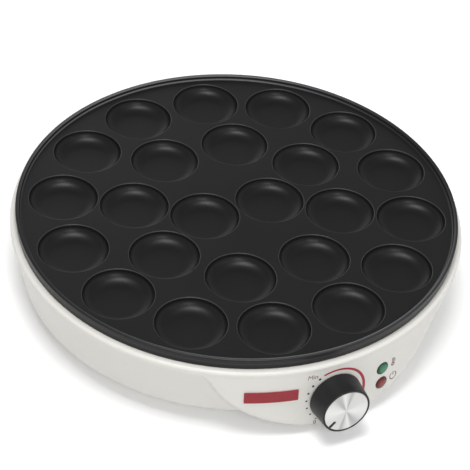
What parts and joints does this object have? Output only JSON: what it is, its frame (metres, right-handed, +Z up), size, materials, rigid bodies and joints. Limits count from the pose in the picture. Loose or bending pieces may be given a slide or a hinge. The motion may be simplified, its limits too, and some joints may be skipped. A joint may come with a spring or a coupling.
{
  "type": "mini pancake maker",
  "caption": "Round electric mini pancake maker: black non-stick plate with round wells on a low off-white housing, thermostat knob and signal lamps on its front panel.",
  "frame": {"origin": "on the table, under the middle of the whole part's box", "axes": "+Z up, -Y towards the front panel and its knob, +X to the right seen from the front"},
  "size_m": [0.3026, 0.3218, 0.0628],
  "materials": {
    "non_stick": "matte black non-stick coating on cast aluminium",
    "off_white_plastic": "satin off-white",
    "black_plastic": "satin black",
    "spun_aluminium": "spun, with fine turning lines",
    "red_plate": "glossy red, bare",
    "green_lens": "glossy, slightly translucent",
    "red_lens": "glossy, slightly translucent",
    "steel": "rolled sheet steel",
    "bright_steel": "zinc plated",
    "brass": "bright brass",
    "ceramic": "unglazed steatite",
    "rubber": "matte black rubber",
    "nylon": "natural nylon",
    "lamp_glass": "clear glass with a warm tint",
    "brown_sheath": "silicone sheath",
    "blue_sheath": "silicone sheath",
    "green_sheath": "silicone sheath"
  },
  "bodies": {
    "body": {"cooking_plate": "non_stick", "heating_element": "steel", "element_seal_1": "ceramic", "element_seal_2": "ceramic", "element_tab_1": "bright_steel", "element_tab_2": "bright_steel", "reflector_pan": "steel", "spacer_sleeve_1": "steel", "spacer_sleeve_2": "steel", "spacer_sleeve_3": "steel", "spacer_sleeve_4": "steel", "tie_screw_1": "bright_steel", "tie_screw_2": "bright_steel", "tie_screw_3": "bright_steel", "tie_screw_4": "bright_steel", "housing": "off_white_plastic", "base_cover": "off_white_plastic", "foot_1": "rubber", "foot_2": "rubber", "foot_3": "rubber", "foot_4": "rubber", "thermostat_frame": "steel", "neck_nut": "bright_steel", "ceramic_bead_1": "ceramic", "ceramic_bead_2": "ceramic", "ceramic_bead_3": "ceramic", "ceramic_bead_4": "ceramic", "moving_contact_leaf": "brass", "fixed_contact_leaf": "brass", "bimetal_strip": "steel", "stack_rivet": "steel", "thermostat_bracket": "steel", "bracket_screw": "bright_steel", "lens_ring_green": "black_plastic", "lens_green": "green_lens", "lamp_green": "lamp_glass", "lens_ring_red": "black_plastic", "lens_red": "red_lens", "lamp_red": "lamp_glass", "name_plate": "red_plate", "cord_gland": "rubber", "terminal_block": "nylon", "thermal_fuse": "bright_steel", "fuse_strap": "steel", "earth_tag": "brass", "earth_screw": "bright_steel", "live_wire": "brown_sheath", "switched_wire": "brown_sheath", "fuse_wire": "brown_sheath", "neutral_wire": "blue_sheath", "earth_wire": "green_sheath"},
    "knob": {"knob": "black_plastic", "knob_face": "spun_aluminium", "knob_clip": "bright_steel", "thermostat_spindle": "brass"},
    "pusher": {"contact_pusher": "ceramic"}
  },
  "joints": [
    {"name": "knob_turn", "type": "hinge", "parent": "body", "child": "knob", "pos_m": [0, -0.14396, 0.0276], "axis": [0, 0.9978, -0.0663], "range_deg": [0, 276]},
    {"name": "pusher_slide", "type": "slide", "parent": "body", "child": "pusher", "axis": [0, 0.9978, -0.0663], "range_m": [0, 0.001]}
  ],
  "couplings": [
    {"joint": "pusher_slide", "follows": "knob_turn", "m_per_rad": 0.00020759}
  ]
}
